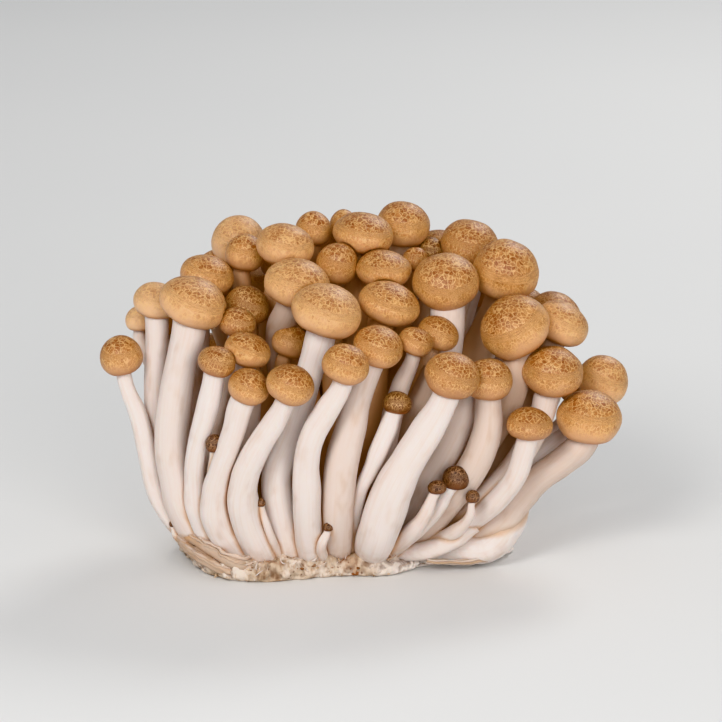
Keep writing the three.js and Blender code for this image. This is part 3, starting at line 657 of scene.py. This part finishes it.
def crumb_look(name, light, dark):
    """Crumbs of the growing block, each of its own "tone"."""
    look = Look(name)
    grain = look.noise(look.object_place(), 900, 3)
    base = look.mixed(look.attribute("tone"), light, dark)
    base = look.mixed(grain.step(0.5, 0.75) * 0.5, base, dark)
    return look.finish(Base_Color=base, Roughness=0.85, Normal=look.bumped(grain, 0.0003, 0.8))


def floor_look():
    look = Look("floor_paint")
    clouds = look.noise(look.object_place(), 3, 2)
    return look.finish(Base_Color=look.mixed(clouds, (226, 226, 224), (220, 220, 219)), Roughness=0.8)


CAP_LOOK = cap_look(
    "cap_skin", crown=(138, 76, 28), fill=(205, 149, 88), margin=(212, 162, 120),
    net=(238, 197, 136), rim_shade=(166, 104, 58), dark=(84, 44, 18), pale=(238, 200, 160),
    net_reach=(-0.2, 0.85),
)
PIN_LOOK = cap_look(
    "pin_skin", crown=(62, 32, 18), fill=(96, 55, 28), margin=(116, 72, 42), net=(194, 150, 110),
    rim_shade=(88, 50, 28), dark=(44, 22, 12), pale=(150, 110, 80), net_reach=(-0.8, 0.1),
)
FLESH_LOOK = flesh_look(
    "stem_flesh", light=(231, 221, 216), warm=(225, 207, 194), tan=(184, 152, 126),
    shade=(222, 196, 172), deep_shade=(192, 148, 112), stain_and_shade=(200, 154, 114),
)
CRUST_LOOK = crust_look(
    "foot_crust", fresh=(236, 226, 218), cream=(218, 204, 190), pale=(190, 168, 144),
    tan=(156, 124, 94), brown=(100, 66, 42), rust=(146, 88, 46),
)
CRUMB_LOOK = crumb_look("crumbs", light=(206, 180, 150), dark=(120, 74, 40))

# ---------------------------------------------------------------- caps

def cap_template():
    """A cap of half width 1 and half height 1, with every other side of its bed pulled to a gill."""
    cap = turned(GILL_BED + RIM + SIDE + DOME, CAP_SIDES)
    step = 2 * math.pi / CAP_SIDES
    bed = {round(height, 3): (ring + 1) / len(GILL_BED) for ring, (_, height) in enumerate(GILL_BED)}
    for vertex in cap.data.vertices:
        x, y, z = vertex.co
        if round(z, 3) in bed and math.hypot(x, y) > 0.01 and round(math.atan2(y, x) / step) % 2:
            vertex.co.z -= GILL_DEPTH * math.sin(math.pi * bed[round(z, 3)] * 0.85)
    return cap


def dented(place, own, others):
    """The place, moved towards the cap's own middle until it is outside the caps in front of it."""
    for other, turn_back in others:
        def inside(point):
            x, y, z = turn_back @ (point - other.middle)
            out, up = math.hypot(x, y) ** DENT_POWER, abs(z / other.half) ** DENT_POWER
            return out / other.radius ** DENT_POWER + up < 1
        if not inside(place):
            continue
        near, far = 0.0, 1.0
        for _ in range(DENT_STEPS):
            share = (near + far) / 2
            if inside(own.middle.lerp(place, share)):
                far = share
            else:
                near = share
        place = own.middle.lerp(place, near)
    return place


def make_cap(template, mushroom, in_front):
    """The mushroom's cap: the template at its size, a little lopsided and uneven, leaning as it
    grew, and dented by the caps that press on it from the front."""
    piece = own_copy(template)
    dice = random.Random(mushroom.seed)
    phase = [dice.uniform(0, 2 * math.pi) for _ in range(4)]
    oval, lobes, tip = dice.uniform(0.0, 0.035), dice.uniform(0.0, 0.015), dice.uniform(0.02, 0.09)
    turn = UP.rotation_difference(mushroom.axis)
    others = [(other, UP.rotation_difference(other.axis).inverted()) for other in in_front]
    arcs = arc_lengths(mushroom)
    skin, heights, places = [], [], []
    for vertex in piece.data.vertices:
        x, y, z = vertex.co
        around = math.atan2(y, x)
        arc = arcs(math.hypot(x, y), z)
        skin.append((arc * math.cos(around), arc * math.sin(around), mushroom.seed * SEED_STEPS["skin"]))
        heights.append(z)
        swell = 1 + oval * math.cos(2 * around + phase[0]) + lobes * math.cos(3 * around + phase[1])
        swell += 0.02 * max(0, -z) * math.cos(5 * around + phase[2])
        shift = tip * max(0, z) ** 2
        x, y = x * swell + shift * math.cos(phase[3]), y * swell + shift * math.sin(phase[3])
        grown = Vector((x * mushroom.radius, y * mushroom.radius, z * mushroom.half))
        seeded = grown / (CAP_BUMPS * MM) + Vector((0, 0, mushroom.seed * SEED_STEPS["bumps"]))
        grown *= 1 + CAP_UNEVENNESS * noise.noise(seeded)
        places.append(dented(turn @ grown + mushroom.middle, mushroom, others))
    for vertex, place in zip(piece.data.vertices, places):
        vertex.co = place
    write_attribute(piece, "skin", "FLOAT_VECTOR", skin)
    write_attribute(piece, "height", "FLOAT", heights)
    tone = CAP_TONES_AND_SHADES.get(mushroom.node, dice.random() ** 2)
    write_attribute(piece, "tone", "FLOAT", [tone] * len(places))
    return piece


def arc_lengths(mushroom):
    """A function from a place on the template's outline to its way over the skin from the crown,
    in mm of that mushroom.
    """
    profile = [(0, 1)] + (GILL_BED + RIM + SIDE + DOME)[::-1]
    lengths = [0.0]
    for (r0, z0), (r1, z1) in zip(profile, profile[1:]):
        lengths.append(lengths[-1] + math.hypot((r1 - r0) * mushroom.radius, (z1 - z0) * mushroom.half) / MM)
    known = {(round(r, 2), round(z, 2)): length for (r, z), length in zip(profile, lengths)}
    def arc(r, z):
        return known.get((round(r, 2), round(z, 2)), lengths[-1])
    return arc


def make_caps(mushrooms):
    """One piece for each CAD node, which stands for the node's cap or bunch of caps."""
    template = cap_template()
    bunches = {}
    for mushroom in mushrooms:
        reach = mushroom.radius * 1.1
        in_front = [
            other for other in mushrooms
            if other.middle.y < mushroom.middle.y
            and (other.middle - mushroom.middle).length < reach + other.radius
        ]
        piece = make_cap(template, mushroom, in_front)
        bunches.setdefault(mushroom.node, []).append(piece)
    for node, pieces in bunches.items():
        young = node is None or node.startswith("pin")
        piece = join(pieces, f"{node or 'pinheads_small'}_skin")
        slot, material = ("pin_head", PIN_LOOK) if young else ("cap_skin", CAP_LOOK)
        finish_piece(piece, [node or "stems"], material)
    remove(template)


# ---------------------------------------------------------------- stems

def stem_template(sides, rings):
    """A closed tube of radius 1 and length 1 along Z, with rings for its bends."""
    deselect_all()
    bpy.ops.mesh.primitive_cylinder_add(vertices=sides, radius=1, depth=1, location=(0, 0, 0.5))
    tube = bpy.context.object
    bpy.ops.object.transform_apply(location=True)
    bpy.ops.object.mode_set(mode="EDIT")
    mesh = bmesh.from_edit_mesh(tube.data)
    mesh.select_mode = {"EDGE"}
    for edge in mesh.edges:
        low, high = sorted(vertex.co.z for vertex in edge.verts)
        edge.select = high - low > 0.5
    mesh.select_flush_mode()
    bmesh.update_edit_mesh(tube.data)
    bpy.ops.mesh.subdivide(number_cuts=rings)
    bpy.ops.object.mode_set(mode="OBJECT")
    return tube


def stem_route(mushroom):
    """A stem's middle line from the foot to its cap, as (place, thickness) pairs in metres."""
    top = mushroom.middle - mushroom.axis * mushroom.half * STEM_INTO_CAP
    if isinstance(mushroom.stem, list):
        route = route_of(mushroom.stem)
        return [*route, (top, min(route[-1][1], mushroom.radius * 1.1))]
    # An inner stem leaves the foot steeply and bends out to its cap. The higher the cap, the
    # nearer the middle is its root.
    x, y, z = mushroom.middle / MM
    inwards = 0.62 - z / 300
    root = Vector((x * inwards, y * inwards, ROOT_HEIGHT)) * MM
    neck = mushroom.middle - mushroom.axis * (mushroom.half + NECK_BELOW_CAP * MM)
    knee = root.lerp(neck, 0.45) + UP * z * 0.06 * MM
    places = {"foot": root, "knee": knee, "neck": neck, "top": top}
    return [(place, mushroom.stem * MM * INNER_STEM[key]) for key, place in places.items()]


def curve_through(route):
    """A smooth curve through the route's places, as thick as the route says."""
    deselect_all()
    bpy.ops.curve.primitive_bezier_curve_add()
    curve = bpy.context.object
    curve.data.dimensions = "3D"
    curve.data.use_stretch = curve.data.use_deform_bounds = curve.data.use_radius = True
    curve.data.resolution_u = 16
    spline = curve.data.splines[0]
    spline.radius_interpolation = "EASE"
    spline.bezier_points.add(len(route) - 2)
    for knot, (place, thickness) in zip(spline.bezier_points, route):
        knot.co = place
        knot.radius = thickness / 2
        knot.handle_left_type = knot.handle_right_type = "AUTO"
    return curve


def make_stem(template, route, seed, tone, outer):
    """A tube along the route, with soft flutes and a place along it for the flesh's fibres."""
    piece = own_copy(template)
    length = sum((b[0] - a[0]).length for a, b in zip(route, route[1:])) / MM
    thick = sum(thickness for _, thickness in route) / len(route) / MM
    along = []
    for vertex in piece.data.vertices:
        x, y, z = vertex.co
        along.append((x * thick / 2 + seed * SEED_STEPS["fibres"], y * thick / 2, z * length))
        up = z * length * 0.045 + seed * SEED_STEPS["flutes"]
        flute = noise.noise(Vector((x * 1.3, y * 1.3, up)))
        vertex.co = (x * (1 + 2 * FLUTES * flute), y * (1 + 2 * FLUTES * flute), z)
    write_attribute(piece, "along", "FLOAT_VECTOR", along)
    curve = curve_through(route)
    apply_modifier(piece, "CURVE", object=curve, deform_axis="POS_Z")
    remove(curve)
    places = [vertex.co / MM for vertex in piece.data.vertices]
    write_attribute(piece, "depth", "FLOAT", [0.0 if outer else depth_inside(place) for place in places])
    write_attribute(piece, "tone", "FLOAT", [tone] * len(places))
    return piece


def depth_inside(place):
    """How far inside the bunch of stems a place in mm is: 0 at its side, 1 well inside, where the flesh is
    painted in shade.
    """
    half_width = BUNCH["half_width"] + BUNCH["wider"] * place.z
    half_depth = BUNCH["half_depth"] + BUNCH["deeper"] * place.z
    out = math.hypot(place.x / half_width, place.y / half_depth)
    return min(1.0, max(0.0, (0.98 - out) / 0.5))


def shade_and_stain_seams(stems):
    """Writes how near each vertex of a stem is to another stem: 1 where they touch, where the flesh paints
    contact shade and a tan stain.
    """
    rings = []
    for number, stem in enumerate(stems):
        places = [vertex.co for vertex in stem.data.vertices]
        by_level = {}
        for place, up in zip(places, stem.data.attributes["along"].data):
            by_level.setdefault(round(up.vector.z, 2), []).append(place)
        for ring in by_level.values():
            middle = sum(ring, Vector()) / len(ring)
            rings.append((number, middle, (ring[0] - middle).length))
    tree = kdtree.KDTree(len(rings))
    for index, (_, middle, _) in enumerate(rings):
        tree.insert(middle, index)
    tree.balance()
    for number, stem in enumerate(stems):
        seams = []
        for vertex in stem.data.vertices:
            near = tree.find_range(vertex.co, SEAM_SEARCH * MM)
            gaps = [far - rings[index][2] for _, index, far in near if rings[index][0] != number]
            seams.append(max(0.0, 1 - max(0.0, min(gaps, default=1)) / (SEAM_REACH * MM)))
        write_attribute(stem, "seam", "FLOAT", seams)


def make_strands(template, route, seed):
    """Dried strands side by side along a stump."""
    dice = random.Random(seed)
    strands = []
    for number in range(STRANDS):
        around = 2 * math.pi * number / STRANDS + dice.uniform(-0.3, 0.3)
        aside = Vector((0, math.cos(around), math.sin(around))) * dice.uniform(*STRAND["aside"])
        share = dice.uniform(*STRAND["share"])
        own = [(place + aside * thick * dice.uniform(0.85, 1.15), thick * share) for place, thick in route]
        strand = make_stem(template, own, seed * 10 + number, dice.uniform(0.5, 1.2), True)
        for vertex in strand.data.vertices:
            vertex.co += noise.noise_vector(vertex.co / MM / RUFFLE_WIDTH) * RUFFLE * MM
        strands.append(strand)
    return strands


def make_stems(mushrooms):
    """The stems in three pieces: those in full view, the inner ones and the far ones."""
    template = stem_template(STEM_SIDES, STEM_RINGS)
    groups = {"stems_in_view": [], "stems_inside": [], "stems_at_back": []}
    strands = []
    for mushroom in mushrooms:
        in_view = isinstance(mushroom.stem, list)
        tone = STEM_TONES_AND_SHADES.get(mushroom.node, random.Random(mushroom.seed).uniform(0, 0.3))
        stem = make_stem(template, stem_route(mushroom), mushroom.seed, tone, in_view)
        group = "stems_in_view"
        if not in_view:
            group = "stems_at_back" if mushroom.node.startswith("caps_back") else "stems_inside"
        groups[group].append(stem)
    for seed, (kind, tan, points) in enumerate(STUMPS, SEEDS["stumps"]):
        route = route_of(points)
        if kind == "dried":
            strands += make_strands(template, route, seed)
            route = [(place, thickness * DRIED_CORE) for place, thickness in route]
        group = "stems_inside" if kind == "inside" else "stems_in_view"
        groups[group].append(make_stem(template, route, seed, tan, kind != "inside"))
    shade_and_stain_seams([stem for stems in groups.values() for stem in stems])
    groups["stems_in_view"] += strands
    for name, stems in groups.items():
        finish_piece(join(stems, name), ["stems"], FLESH_LOOK)
    remove(template)


# ---------------------------------------------------------------- foot

def crust_height(x):
    """The height of the crust at a place across the foot, in mm."""
    for (x0, low), (x1, high) in zip(CRUST_HEIGHTS, CRUST_HEIGHTS[1:]):
        if x <= x1:
            return low + (high - low) * max(0, x - x0) / (x1 - x0)
    return CRUST_HEIGHTS[-1][1]


def foot_edge(turn):
    """The place on the underside's edge that far round it, from 0 to 1, in mm."""
    count = len(FOOT_PLAN)
    whole, part = divmod(turn * count, 1)
    before, start, end, after = (Vector(FOOT_PLAN[(int(whole) + step) % count]) for step in (-1, 0, 1, 2))
    leave, arrive = (end - before) / 2, (after - start) / 2
    square, cube = part ** 2, part ** 3
    return (
        start * (2 * cube - 3 * square + 1) + leave * (cube - 2 * square + part)
        + end * (3 * square - 2 * cube) + arrive * (cube - square)
    )


def rough(kind, place, shift=(0, 0, 0)):
    """The crust's unevenness of that kind at a place, in mm."""
    width, height = CRUST_NOISE[kind]
    return noise.noise(place / width + Vector(shift)) * height


def make_foot():
    """The foot: a flat-bottomed fibrous crust, wrinkled and crumbled at its side."""
    foot = turned(FOOT_OUTLINE, FOOT_SIDES)
    crevices = []
    for vertex in foot.data.vertices:
        x, y, height = vertex.co
        out = math.hypot(x, y)
        edge = foot_edge((math.atan2(y, x) / math.pi + 1) / 2 % 1)
        place = Vector((*edge * out, height * crust_height(edge.x * out)))
        lumps = rough("lumps", place) + rough("knobs", place, (31, 0, 0))
        bent = place + noise.noise_vector(place / FOLD_BEND_WIDTH) * FOLD_BEND
        folds = noise.turbulence(Vector((bent.x, bent.y, bent.z * 0.45)) / FOLD_WIDTH, 3, True)
        crevice = min(1.0, max(0.0, folds * 1.5 - 0.35))
        grain = rough("grains", place) + rough("grit", place, (0, 0, 23))
        side = min(1.0, place.z / 1.2) * min(1.0, out / 0.5)
        outwards = Vector((place.x, place.y * 3, 0)).normalized()
        place += outwards * (lumps + (grain - crevice * FOLD_DEPTH + 0.4) * side)
        rise = rough("waves", place, (0, 47, 0)) + rough("ripples", place)
        place.z += (rise - crevice * 0.6) * min(1.0, place.z / 4)
        vertex.co = place * MM
        crevices.append(crevice * side)
    write_attribute(foot, "crevice", "FLOAT", crevices)
    finish_piece(foot, ["stems"], CRUST_LOOK)
    foot.name = foot.data.name = "foot_crust"


def make_crumbs():
    """Crumbs of the growing block that cling in clusters to the foot's side."""
    dice = random.Random(CRUMB_DRAW)
    deselect_all()
    bpy.ops.mesh.primitive_ico_sphere_add(subdivisions=2, radius=1)
    template = bpy.context.object
    clusters = [(dice.random(), dice.uniform(0.15, 0.7)) for _ in range(CRUMB_CLUSTERS)]
    crumbs = []
    while len(crumbs) < CRUMBS:
        turn, share = dice.choice(clusters)
        x, y = foot_edge((turn + dice.gauss(0, 0.008)) % 1)
        if dice.random() < max(0, x) / 40:
            continue
        size = dice.uniform(*CRUMB_SIZE) * dice.choice((1, 1, 1.5))
        height = min(0.95, max(0.0, share + dice.gauss(0, 0.12))) * crust_height(x)
        middle = Vector((x * 1.03, y * 1.03, max(height, size * 0.75)))
        middle -= Vector((x, y, 0)).normalized() * dice.uniform(-0.2, 0.7)
        crumb = own_copy(template)
        squash = Vector((dice.uniform(0.6, 1.4), dice.uniform(0.6, 1.4), dice.uniform(0.5, 0.9)))
        shift = Vector((dice.uniform(0, 90), 0, 0))
        for vertex in crumb.data.vertices:
            lump = 1 + 0.55 * noise.noise(vertex.co * 1.3 + shift)
            vertex.co = (middle + vertex.co * squash * size * lump) * MM
        tone = dice.random()
        write_attribute(crumb, "tone", "FLOAT", [tone] * len(crumb.data.vertices))
        crumbs.append(crumb)
    finish_piece(join(crumbs, "foot_crumbs"), ["stems"], CRUMB_LOOK)
    remove(template)


def make_fibres():
    """Matted fibres that lie on the crust and run up from it onto the stems."""
    template = stem_template(FIBRE_SIDES, FIBRE_RINGS)
    dice = random.Random(FIBRE_DRAW)
    fibres = []
    for number in range(FIBRES):
        x, y = foot_edge(dice.random())
        outwards = Vector((x, y * 3, 0)).normalized()
        aside = Vector((outwards.y, -outwards.x, 0)) * dice.gauss(0, 1)
        thick = dice.uniform(*FIBRE_THICKNESS)
        level = dice.uniform(0.05, 0.9) * crust_height(x)
        climb = dice.uniform(*FIBRE_CLIMB)
        base = Vector((x, y, 0)) * 1.03
        route = [
            (base + UP * level - outwards * 0.5, thick),
            (base + aside * 0.5 + UP * (level + climb * 0.4) + outwards * dice.uniform(-0.1, 0.5), thick),
            (base + aside * 1.1 + UP * (level + climb * 0.8) - outwards * dice.uniform(-0.2, 0.8),
             thick * 0.8),
            (base + aside * 1.5 + UP * (level + climb) - outwards * dice.uniform(1.2, 2.4), thick * 0.4),
        ]
        route = [(place * MM, width * MM) for place, width in route]
        fibres.append(make_stem(template, route, SEEDS["fibres"] + number, dice.uniform(0.2, 1.2), True))
    fibres += make_strands(template, route_of(TORN_EDGE), SEEDS["torn_edge"])
    finish_piece(join(fibres, "foot_fibres"), ["stems"], FLESH_LOOK)
    remove(template)


# ---------------------------------------------------------------- camera, light and floor

def make_camera():
    low, away = math.radians(CAMERA["elevation"]), CAMERA["distance"] * MM
    aim = Vector(CAMERA["aim"]) * MM
    deselect_all()
    bpy.ops.object.camera_add(
        location=aim + Vector((0, -away * math.cos(low), away * math.sin(low))),
        rotation=(math.pi / 2 - low, 0, 0),
    )
    camera = bpy.context.object
    camera.data.sensor_width = CAMERA["sensor"]
    camera.data.lens = CAMERA["sensor"] * CAMERA["distance"] / CAMERA["sees"]
    camera.data.clip_start, camera.data.clip_end = (limit * MM for limit in CLIPPING)
    bpy.context.scene.camera = camera


def make_floor():
    deselect_all()
    bpy.ops.mesh.primitive_plane_add(size=FLOOR_WIDTH * MM)
    floor = bpy.context.object
    floor.name = floor.data.name = "floor"
    floor.data.materials.append(floor_look())


def make_light(name, place, size, power, tint):
    """A soft square lamp that shines at the middle of the cluster."""
    aim = Vector(CAMERA["aim"]) * MM
    deselect_all()
    bpy.ops.object.light_add(type="AREA", location=place)
    lamp = bpy.context.object
    lamp.name = lamp.data.name = name
    lamp.rotation_euler = (aim - lamp.location).to_track_quat("-Z", "Y").to_euler()
    lamp.data.size = size
    lamp.data.energy = power
    lamp.data.color = tint


def make_world(tint, strength):
    world = bpy.data.worlds.new("soft_room")
    bpy.context.scene.world = world
    world.use_nodes = True
    background = world.node_tree.nodes["Background"]
    background.inputs["Color"].default_value = tint
    background.inputs["Strength"].default_value = strength


noise.seed_set(NOISE_DRAW)  # unseeded, the vector noise would differ from run to run
make_camera()
make_floor()
make_world(colour(236, 238, 242), ROOM_LIGHT)
for row in LIGHTS:
    make_light(*row)
bpy.context.scene.view_settings.view_transform = "Khronos PBR Neutral"

cluster = mushrooms_of(FRONT, SEEDS["front"])
cluster += mushrooms_of(PINS, SEEDS["pins"])
cluster += mushrooms_of([(f"caps_back_{bunch:02}", *row) for bunch, *row in BACK], SEEDS["back"])
make_caps(cluster)
make_stems(cluster)
make_foot()
make_crumbs()
make_fibres()
